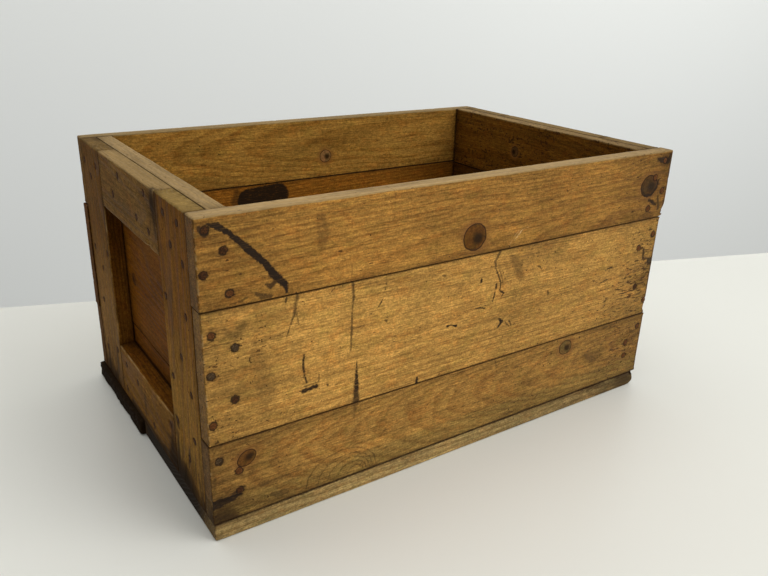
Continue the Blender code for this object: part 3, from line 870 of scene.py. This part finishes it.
def dirtied_and_shaded(n, at, color, given, wood):
    """(colour with dirt in joints, in patches and round nails, painted shade from one patch, and marks, how
    dark its soot and painted shade are).
    """
    dust = n.range(n.streaks(at, 45, 150, 4, 0.65), 0.3, 0.62)
    soot_and_shade = n.plus(wood.grime_and_shade, n.times(given["Dirt"], n.range(wood.blotch, 0.5, 0.8)))
    soot_and_shade = n.plus(soot_and_shade, n.times(n.range(wood.joint, 0.010, 0.0), 0.35))
    solid = n.most(dust, n.range(wood.grime_and_shade, 0.55, 0.95))
    soot_and_shade = n.math("MULTIPLY", soot_and_shade, solid, clamp=True)
    # Soot darkens the colour here, and the painted shade of the right end's patch with it.
    color = n.mix(n.times(soot_and_shade, 0.78), color, linear(46, 29, 13))
    color = n.mix(n.times(n.range(wood.grime_and_shade, 0.8, 1.5), 0.85), color, linear(24, 15, 8))
    gap = n.range(n.plus(wood.joint, n.centred(wood.speck, 0.0012)), 0.0019, 0.0009)
    gap = n.times(gap, n.range(wood.mottle, 0.3, 0.6, 0.55, 0.95))
    color = n.mix(n.times(gap, given["Seams"]), color, linear(44, 24, 8))
    nail = n.plus(given["Nail"], n.centred(n.noise(at, 420.0, 2.0), 0.0032))
    nail = n.minus(nail, given["Nail Radius"])
    color = n.mix(n.times(n.range(nail, 0.0033, 0.0005), 0.3), color, linear(70, 40, 20))
    color = n.mix(n.times(n.range(nail, 0.0014, 0.0004), 0.85), color, INK)
    marked = n.times(given["Mark"], n.range(wood.fibre, 0.2, 0.55, 0.7, 1.0))
    color = n.mix(n.times(marked, n.range(wood.torn, 0.25, 0.5, 0.7, 1.0)), color, STAIN)
    return n.mix(given["Scratch"], color, linear(206, 172, 118)), soot_and_shade


def relief(n, wood, fleck, knot_line):
    """The height that the bump reads: raised rings and fibres, and sunken flecks, pores and knot edges."""
    height = n.times(wood.late, 0.10)
    for field, amount in (
        (wood.fibre, 0.20),
        (wood.torn, 0.16),
        (wood.streak, 0.14),
        (wood.speck, 0.10),
        (wood.blotch, 0.25),
        (wood.pore, -0.12),
        (fleck, -0.35),
        (knot_line, -0.25),
    ):
        height = n.math("MULTIPLY_ADD", field, amount, height)
    return height


def pine_group():
    """Aged pine as a node group: colour, roughness and height from the board's fields."""
    tree = bpy.data.node_groups.new("aged_pine", "ShaderNodeTree")
    for name, (kind, value) in GROUP_INPUTS.items():
        socket = tree.interface.new_socket(name, in_out="INPUT", socket_type="NodeSocket" + kind)
        socket.default_value = value
    for name, kind in GROUP_OUTPUTS.items():
        tree.interface.new_socket(name, in_out="OUTPUT", socket_type="NodeSocket" + kind)
    n = Nodes(tree)
    given = tree.nodes.new("NodeGroupInput").outputs
    result = tree.nodes.new("NodeGroupOutput").inputs
    grain = n.field("grain", vector=True)
    at = n.vector("ADD", grain, given["Shift"])
    wood = wood_fields(n, grain, at, given)
    color = bare_wood(n, at, given, wood)
    color, knot_line = knotted(n, at, color, given)
    end = n.times(n.field("end_grain"), 0.85)
    color = n.mix(end, color, n.tinted(color, (0.48, 0.45, 0.40, 1)))
    # Painted shade: the surfaces round a hand hold are darkened.
    color = n.mix(n.field("hold_shade"), color, n.tinted(color, (0.68, 0.54, 0.31, 1)))
    color = rubbed(n, at, color, given, wood)
    fleck_amount = n.times(given["Flecks"], n.math("MULTIPLY_ADD", wood.handled, 1.6, 0.5))
    color, fleck = flecked(n, at, color, fleck_amount)
    color, soot_and_shade = dirtied_and_shaded(n, at, color, given, wood)
    rough = n.range(n.plus(wood.late, n.times(wood.fibre, 0.6)), 0.2, 1.4, 0.68, 0.52)
    n.put(result["Color"], color)
    n.put(result["Roughness"], n.math("ADD", rough, n.times(soot_and_shade, 0.15), clamp=True))
    n.put(result["Height"], relief(n, wood, fleck, knot_line))
    return tree


def knot_fields(n, grain, board):
    """(how many radii away the nearest knot is, the same for its off-centre dark heart, its colour)."""
    nearest, heart, color = 9.0, 9.0, linear(90, 60, 30)
    for at, long, wide, turn, tone in knots_of(board):
        moved = n.vector("ADD", grain, tuple(-at))
        first = (np.cos(turn) / long, np.sin(turn) / long, 0)
        second = (-np.sin(turn) / wide, np.cos(turn) / wide, 0)
        a = n.vector("DOT_PRODUCT", moved, first)
        b = n.vector("DOT_PRODUCT", moved, second)
        flat = n.add("CombineXYZ", {0: a, 1: b})
        away = n.vector("LENGTH", flat)
        from_heart = n.vector("ADD", flat, HEART_SHIFT)
        nearest = n.least(nearest, away)
        heart = n.least(heart, n.vector("LENGTH", from_heart))
        color = n.mix(n.math("LESS_THAN", away, 2.0), color, linear(*tone))
    return nearest, heart, color


def nail_distance(n, grain, board, nails):
    nearest = 1.0
    for at in nails:
        away = n.vector("DISTANCE", grain, tuple(board.local(at)))
        nearest = n.least(nearest, away)
    return nearest


def spot(board, along, height):
    """A mark's place on the board's face, in the board's own directions."""
    at = place(0, along, height) if board.order[2] == 0 else place(along, 0, height)
    return tuple(board.local(at)[:2])


def marks(n, grain, board, strokes):
    """How strongly each place is marked by the board's strokes, with broken edges."""
    total = 0.0
    wobble = n.centred(n.noise(grain, 420.0, 3.0, 0.6), 0.0036)
    along, across, through = n.split(grain)
    outer = n.math("LESS_THAN", through, -board.half[2] + 3 * MM)
    flat = n.add("CombineXYZ", {0: along, 1: across})
    for strength, softness, path in strokes.get(board.node, []):
        spots = [(spot(board, a, height), r * MM) for a, height, r in path]
        nearest = 1.0
        for ((x0, z0), r0), ((x1, z1), r1) in zip(spots, spots[1:]):
            span = (x1 - x0) ** 2 + (z1 - z0) ** 2
            moved = n.vector("ADD", flat, (-x0, -z0, 0))
            step = ((x1 - x0) / span, (z1 - z0) / span, 0)
            t = n.vector("DOT_PRODUCT", moved, step)
            t = n.add("Clamp", {"Value": t})
            nearest_spot = n.scaled((x1 - x0, z1 - z0, 0), t)
            away = n.vector("DISTANCE", moved, nearest_spot)
            radius = n.math("MULTIPLY_ADD", t, r1 - r0, r0)
            nearest = n.least(nearest, n.minus(away, radius))
        broken = n.plus(nearest, wobble)
        soft = softness * 0.8 * MM
        total = n.most(total, n.range(broken, soft, -soft, 0.0, strength))
    return n.times(total, outer)


BASE_LOOK = {
    "tone": (160, 116, 52),
    "rim": (155, 128, 92),
    "pith": (0.01, -0.06),
    "tilt": 0.03,
    "spacing": 0.0036,
    "contrast": 0.5,
    "dirt": 0.35,
    "flecks": 0.5,
    "seams": 0.95,
    "low_dirt": 0.3,
    "end_dirt": 0.2,
    "gloss": 0.03,
    "handling": (0.5, 0.5, 0.5),
    "ragged": (),
}


def pine_material(board, nails, look):
    made, n, shader = new_material("pine_" + board.node)
    grain = n.field("grain", vector=True)
    wood = made.node_tree.nodes.new("ShaderNodeGroup")
    wood.node_tree = PINE
    knot, heart, knot_tone = knot_fields(n, grain, board)
    for name, value in {
        "Shift": (board.seed % 17 * 0.11, board.seed % 23 * 0.07, board.seed % 13 * 0.13),
        "Pith": (0.0, *look["pith"]),
        "Ring Spacing": look["spacing"],
        "Tone": linear(*look["tone"]),
        "Foot Tone": linear(*look.get("foot", look["tone"])),
        "Rim": linear(*look["rim"]),
        **{name: look[name.lower()] for name in ("Tilt", "Contrast", "Dirt", "Flecks", "Seams")},
        "Knot": knot,
        "Heart": heart,
        "Knot Tone": knot_tone,
        "Nail": nail_distance(n, grain, board, nails),
        "Nail Radius": HEAD_RADIUS if board.order[2] == 1 else SMALL_HEAD_RADIUS,
        "Mark": marks(n, grain, board, STROKES),
        "Scratch": marks(n, grain, board, SCRATCHES),
    }.items():
        n.put(wood.inputs[name], value)
    bump = n.add("Bump", {"Strength": 0.7, "Distance": 0.0006, "Height": wood.outputs["Height"]}, "Normal")
    n.put(shader.inputs["Base Color"], wood.outputs["Color"])
    n.put(shader.inputs["Roughness"], wood.outputs["Roughness"])
    n.put(shader.inputs["Normal"], bump)
    shader.inputs["Specular IOR Level"].default_value = look["gloss"]
    return made


# ---------- nails


HEAD_RADIUS = 2.9 * MM
SMALL_HEAD_RADIUS = 2.4 * MM
HEAD_THICKNESS = 1.1 * MM
SHANK_RADIUS = 1.25 * MM
POINT_LENGTH = 4 * MM
SET_DEPTH = 0.45 * MM
LONG_NAIL = 45 * MM
SHORT_NAIL = 28 * MM
LEAST_LONG = 35 * MM
TURN_STEPS = 20
# Half of a nail head's outline: (share of its radius, height as a share of its thickness).
HEAD_OUTLINE = [
    (0.0, 0.10), (0.45, 0.09), (0.8, 0.04), (0.95, -0.06), (1.0, -0.25), (0.97, -0.75), (0.85, -1.0),
]


def rust_material(name, base, light, metallic):
    made, n, shader = new_material(name)
    at = n.add("TexCoord", {}, "Object")
    coarse = n.noise(at, 700.0, 4.0, 0.65)
    fine = n.noise(at, 2400.0, 3.0, 0.6)
    color = n.mix(n.range(coarse, 0.42, 0.66), base, light)
    color = n.mix(n.range(fine, 0.56, 0.74), color, linear(30, 18, 12))
    n.put(shader.inputs["Base Color"], color)
    n.put(shader.inputs["Roughness"], n.range(coarse, 0.3, 0.7, 0.45, 0.85))
    n.put(shader.inputs["Metallic"], n.range(coarse, 0.7, 0.35, 0.0, metallic))
    shader.inputs["Specular IOR Level"].default_value = 0.06
    height = n.plus(coarse, n.times(fine, 0.5))
    bump = n.add("Bump", {"Strength": 0.8, "Distance": 0.0004, "Height": height}, "Normal")
    n.put(shader.inputs["Normal"], bump)
    return made


def rusty_nail(name, at, outward, length, number):
    """A flat-headed nail with a battered head, its face set just under the wood at this place."""
    rng = np.random.default_rng(1000 + number)
    head = HEAD_RADIUS if length > LEAST_LONG else SMALL_HEAD_RADIUS
    rings = [(r * head, h * HEAD_THICKNESS) for r, h in HEAD_OUTLINE]
    rings.append((SHANK_RADIUS, -HEAD_THICKNESS - 0.3 * MM))
    rings.append((SHANK_RADIUS, -length + POINT_LENGTH))
    rings.append((0.0, -length))
    angles = np.arange(TURN_STEPS) * 2 * pi / TURN_STEPS
    squash = 1 + 0.05 * np.sin(angles * 2 + rng.uniform(0, 6))
    squash += 0.03 * np.sin(angles * 3 + rng.uniform(0, 6))
    build = bmesh.new()
    loops = []
    for index, (radius, height) in enumerate(rings):
        if radius == 0:
            loops.append([build.verts.new((0, 0, height))])
            continue
        wide = radius * (squash if index < len(HEAD_OUTLINE) else 1.0) * np.ones(TURN_STEPS)
        lift = rng.normal(0, 0.05 * MM, TURN_STEPS) if index < 4 else np.zeros(TURN_STEPS)
        spots = zip(wide * np.cos(angles), wide * np.sin(angles), height + lift)
        loops.append([build.verts.new(spot) for spot in spots])
    for upper, lower in zip(loops, loops[1:]):
        for i in range(TURN_STEPS):
            j = (i + 1) % TURN_STEPS
            if len(upper) == 1:
                build.faces.new((upper[0], lower[i], lower[j]))
            elif len(lower) == 1:
                build.faces.new((upper[j], upper[i], lower[0]))
            else:
                build.faces.new((upper[i], lower[i], lower[j], upper[j]))
    bmesh.ops.recalc_face_normals(build, faces=build.faces)
    mesh = bpy.data.meshes.new(name)
    build.to_mesh(mesh)
    build.free()
    mesh.shade_smooth()
    outward = Vector(outward)
    lean = Matrix.Rotation(rng.normal(0, radians(2.0)), 4, "X")
    lean = lean @ Matrix.Rotation(rng.normal(0, radians(2.0)), 4, "Y")
    turn = outward.to_track_quat("Z", "Y").to_matrix().to_4x4() @ lean
    seat = Vector(at) - outward * SET_DEPTH
    mesh.transform(Matrix.Translation(seat) @ turn)
    obj = add_object(name, mesh)
    on_side = abs(outward.y) > 0.5
    mesh.materials.append(RUSTS[rng.choice(3, p=[0.45, 0.4, 0.15])] if on_side else RUSTS[0])
    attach(obj, BODY)
    return obj


def cad_nails():
    """(node, place of its head, outward direction, length) of each nail in the CAD model."""
    found = []
    for node in sorted(frame["nodes"]):
        if not node.startswith("nail_"):
            continue
        low, high = (np.array(c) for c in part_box(node))
        middle = (low + high) / 2
        axis = int(np.argmax(high - low))
        sign = 1.0 if middle[axis] > (cad_low[axis] + cad_high[axis]) / 2 else -1.0
        if axis == 2:
            sign = -1.0
        head = middle.copy()
        head[axis] = high[axis] if sign > 0 else low[axis]
        outward = np.zeros(3)
        outward[axis] = sign
        found.append((node, head, outward, high[axis] - low[axis]))
    return found


# Nails beyond the CAD model's. On a side: (from the end, height). On an end: (from the front face, height).
SIDE_EXTRAS = [(21, 249), (5, 233), (26, 171), (6, 152), (5, 109), (24, 61)]
END_EXTRAS = [
    (30, 233), (32, 190), (77, 191), (36, 263), (55, 241), (67, 263), (76, 119), (33, 121), (74, 77),
    (34, 78), (50, 52), (310, 256), (266, 258), (290, 243), (309, 164), (259, 171), (298, 107), (262, 62),
    (305, 48), (189, 265), (211, 243), (114, 267), (109, 236), (96, 60), (150, 30), (232, 58), (238, 28),
]
FLOOR_EDGE_FIRST, FLOOR_EDGE_SPACING, FLOOR_EDGE_INSET = 72, 62, 8.0


def extra_nails():
    rng = np.random.default_rng(7)
    found = []
    for side, outward, y in (("front", (0, -1, 0), 0.0), ("back", (0, 1, 0), WIDTH_MM)):
        for end in ("left", "right"):
            shake = 0.0 if (side, end) == ("front", "left") else 2.5
            for number, (inset, height) in enumerate(SIDE_EXTRAS):
                inset, height = np.array([inset, height]) + rng.uniform(-shake, shake, 2)
                inset = max(inset, 4.5)
                x = inset if end == "left" else LENGTH_MM - inset
                name = f"nail_{side}_{end}_extra_{number + 1}"
                found.append((name, place(x, y, height), outward, LONG_NAIL))
    for end, outward, x in (("left", (-1, 0, 0), 0.0), ("right", (1, 0, 0), LENGTH_MM)):
        shake = 0.0 if end == "left" else 3.0
        for number, (y, height) in enumerate(END_EXTRAS):
            y, height = np.array([y, height]) + rng.uniform(-shake, shake, 2)
            found.append((f"nail_{end}_extra_{number + 1}", place(x, y, height), outward, SHORT_NAIL))
    for side, y in (("front", FLOOR_EDGE_INSET), ("back", WIDTH_MM - FLOOR_EDGE_INSET)):
        for number in range(7):
            x = FLOOR_EDGE_FIRST + FLOOR_EDGE_SPACING * number + rng.uniform(-8, 8)
            found.append((f"nail_floor_{side}_edge_{number + 1}", place(x, y, 0.0), (0, 0, -1), LONG_NAIL))
    return found


# ---------- the crate


def board_looks():
    """Each board's directions (grain, across, through as axes) and its look."""
    side, floor, panel, stile = (0, 2, 1), (0, 1, 2), (1, 2, 0), (2, 1, 0)
    front_rim, left_rim, right_rim = (156, 129, 84), (146, 119, 74), (124, 100, 58)
    front = dict(gloss=0.1, seams=0.78, handling=(0.75, 0.5, 0.5))
    back = dict(handling=(0.5, 0.2, 0.1))
    return {
        "front_top_board": (side, dict(
            tone=(162, 117, 53), rim=front_rim, pith=(-0.03, 0.05), tilt=0.05, flecks=0.6,
            **front,
        )),
        "front_middle_board": (side, dict(
            tone=(186, 140, 70), pith=(0.02, 0.09), tilt=-0.02, contrast=0.35, flecks=0.9,
            **front,
        )),
        "front_bottom_board": (side, dict(
            tone=(163, 121, 59), foot=(156, 122, 62), pith=(0.0, 0.045), tilt=0.12, flecks=0.8,
            dirt=0.5, **front,
        )),
        "back_top_board": (side, dict(
            tone=(156, 115, 50), rim=(132, 110, 72), pith=(0.01, 0.06), tilt=0.04, flecks=0.9,
            **back,
        )),
        "back_middle_board": (side, dict(tone=(136, 88, 28), pith=(-0.02, 0.05), tilt=0.07, **back)),
        "back_bottom_board": (side, dict(tone=(136, 92, 34), pith=(0.02, -0.06), tilt=-0.06, **back)),
        "floor_front_board": (floor, dict(
            tone=(164, 137, 86), pith=(0.03, 0.07), tilt=0.05, dirt=0.2, low_dirt=0.0,
            end_dirt=0.0, gloss=0.1,
        )),
        "floor_back_board": (floor, dict(
            tone=(146, 118, 70), pith=(-0.02, 0.08), tilt=-0.06, dirt=0.6, ragged=((-1, 3 * MM),),
        )),
        "left_front_stile": (stile, dict(
            tone=(122, 79, 20), foot=(146, 107, 46), rim=(140, 113, 60), pith=(0.02, 0.05),
            tilt=0.03, dirt=0.6, seams=0.5,
        )),
        "left_back_stile": (stile, dict(
            tone=(111, 74, 20), foot=(140, 101, 46), rim=(112, 87, 44), pith=(-0.03, 0.04),
            tilt=0.05, dirt=0.7, seams=0.4,
        )),
        "left_top_rail": (panel, dict(
            tone=(118, 85, 38), rim=left_rim, pith=(0.0, 0.05), tilt=0.04, contrast=0.3,
            seams=0.15,
        )),
        "left_bottom_rail": (panel, dict(tone=(130, 90, 34), pith=(0.02, 0.06), tilt=-0.03, dirt=0.6)),
        "left_upper_panel_board": (panel, dict(
            tone=(138, 94, 34), rim=(142, 118, 78), pith=(0.02, -0.08), tilt=0.04, seams=0.15,
        )),
        "left_lower_panel_board": (panel, dict(tone=(134, 90, 32), pith=(-0.01, -0.05), tilt=0.02)),
        "right_front_stile": (stile, dict(tone=(140, 100, 48), rim=right_rim, pith=(0.03, -0.05))),
        "right_back_stile": (stile, dict(tone=(130, 92, 44), rim=right_rim, pith=(-0.02, -0.06))),
        "right_top_rail": (panel, dict(tone=(134, 98, 52), rim=right_rim, pith=(0.01, -0.05))),
        "right_bottom_rail": (panel, dict(tone=(110, 76, 34), pith=(-0.02, -0.06), dirt=0.7)),
        "right_upper_panel_board": (panel, dict(
            tone=(126, 84, 26), rim=(136, 110, 68), pith=(0.0, 0.06), tilt=0.05, flecks=1.2,
        )),
        "right_lower_panel_board": (panel, dict(tone=(106, 68, 20), pith=(0.02, 0.08), tilt=-0.04)),
    }


# ---------- the room


# Two places on the table's far edge, how far the table and the wall reach, and how far off the wall is.
TABLE_EDGE = ((-0.332, 0.430, 0), (0.869, 0.023, 0))
TABLE_REACH = 4
EDGE_REACH = 3
WALL_HEIGHTS = (-2, 3)
WALL_DISTANCE = 1.3

TABLE_COLOR = (0.70, 0.695, 0.635)
WALL_COLOR = (0.90, 0.915, 0.88)
ROOM_COLOR = (0.98, 0.99, 1.0, 1)
ROOM_STRENGTH = 0.40

# Area lights: name, place, what it faces, its two sizes and its power.
LIGHTS = [
    ("window", (1.5, -2.2, 1.9), (0, 0, 0.1), (2.2, 1.6), 43),
    ("ceiling", (0.4, -0.2, 2.6), (0, 0, 0), (2.5, 2.5), 27),
    ("front_ceiling", (0.1, -0.9, 1.7), (0.1, -0.8, 0), (1.2, 1.2), 4),
    ("far_ceiling", (-0.8, 1.0, 2.0), (-0.5, 0.9, 0), (1.6, 1.6), 9),
    ("far_right", (1.7, 0.0, 0.9), (2.5, 1.1, 0.0), (1.5, 1.5), 3),
]

# The view over the front left corner, from a little above. The eye is in millimetres, as place takes it.
EYE = (-164.92, -474.69, 425.08)
VIEW_RIGHT = (0.8315847, -0.5546934, 0.0279667)
VIEW_FORWARD = (0.5232172, 0.7655161, -0.3744714)
LENS = 34.863


def plain_surface(name, corners, color, roughness):
    mesh = bpy.data.meshes.new(name)
    mesh.from_pydata(corners, [], [tuple(range(len(corners)))])
    made, _, shader = new_material(name)
    shader.inputs["Base Color"].default_value = (*color, 1)
    shader.inputs["Roughness"].default_value = roughness
    mesh.materials.append(made)
    return add_object(name, mesh)


def add_stage():
    """A pale table whose far edge runs at an angle behind the crate, and a pale wall behind it."""
    left_edge, right_edge = (Vector(at) for at in TABLE_EDGE)
    along = (right_edge - left_edge).normalized()
    behind = Vector((0, 0, 1)).cross(along)
    start, stop = left_edge - along * EDGE_REACH, right_edge + along * EDGE_REACH
    corners = [start - behind * TABLE_REACH, stop - behind * TABLE_REACH, stop, start]
    table = plain_surface("table", corners, TABLE_COLOR, 0.4)
    low, high = (Vector((0, 0, z)) for z in WALL_HEIGHTS)
    first, last = start + behind * WALL_DISTANCE, stop + behind * WALL_DISTANCE
    corners = [first + low, last + low, last + high, first + high]
    wall = plain_surface("wall", corners, WALL_COLOR, 0.6)


def add_lights():
    world = bpy.data.worlds.new("room")
    bpy.context.scene.world = world
    world.use_nodes = True
    background = world.node_tree.nodes["Background"].inputs
    background["Color"].default_value = ROOM_COLOR
    background["Strength"].default_value = ROOM_STRENGTH
    for name, at, target, size, power in LIGHTS:
        lamp = bpy.data.lights.new(name, "AREA")
        lamp.shape = "RECTANGLE"
        lamp.size, lamp.size_y = size
        lamp.energy = power
        obj = add_object(name, lamp)
        obj.location = at
        obj.rotation_euler = (Vector(target) - Vector(at)).to_track_quat("-Z", "Y").to_euler()


def add_camera():
    camera = bpy.data.cameras.new("camera")
    camera.sensor_width = 36
    camera.lens = LENS
    obj = add_object("camera", camera)
    right, forward = Vector(VIEW_RIGHT), Vector(VIEW_FORWARD)
    turn = Matrix((right, right.cross(forward), -forward)).transposed().to_4x4()
    obj.matrix_world = Matrix.Translation(place(*EYE)) @ turn
    bpy.context.scene.camera = obj


# ---------- building it


BODY = next(iter(frame["bodies"]))
BOARD_BOXES = {node: tuple(np.array(c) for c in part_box(node)) for node in board_looks()}
PINE = pine_group()
RUSTS = [
    rust_material("rust_dark", linear(52, 32, 18), linear(86, 54, 28), 0.05),
    rust_material("rust_brown", linear(84, 50, 24), linear(112, 70, 36), 0.05),
    rust_material("rust_steel", linear(62, 48, 32), linear(92, 72, 48), 0.1),
]
CAD_NAILS = cad_nails()
EXTRA_NAILS = extra_nails()
NAIL_PLACES = [at for _, at, _, _ in CAD_NAILS + EXTRA_NAILS]

for node, (directions, changes) in board_looks().items():
    worn_board(node, *directions, {**BASE_LOOK, **changes})
for number, (node, at, outward, length) in enumerate(CAD_NAILS):
    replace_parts(rusty_nail("rusty_" + node, at, outward, length, number), node)
for number, (name, at, outward, length) in enumerate(EXTRA_NAILS):
    rusty_nail("rusty_" + name, at, outward, length, 100 + number)

add_stage()
add_lights()
add_camera()
bpy.context.scene.view_settings.view_transform = "Standard"
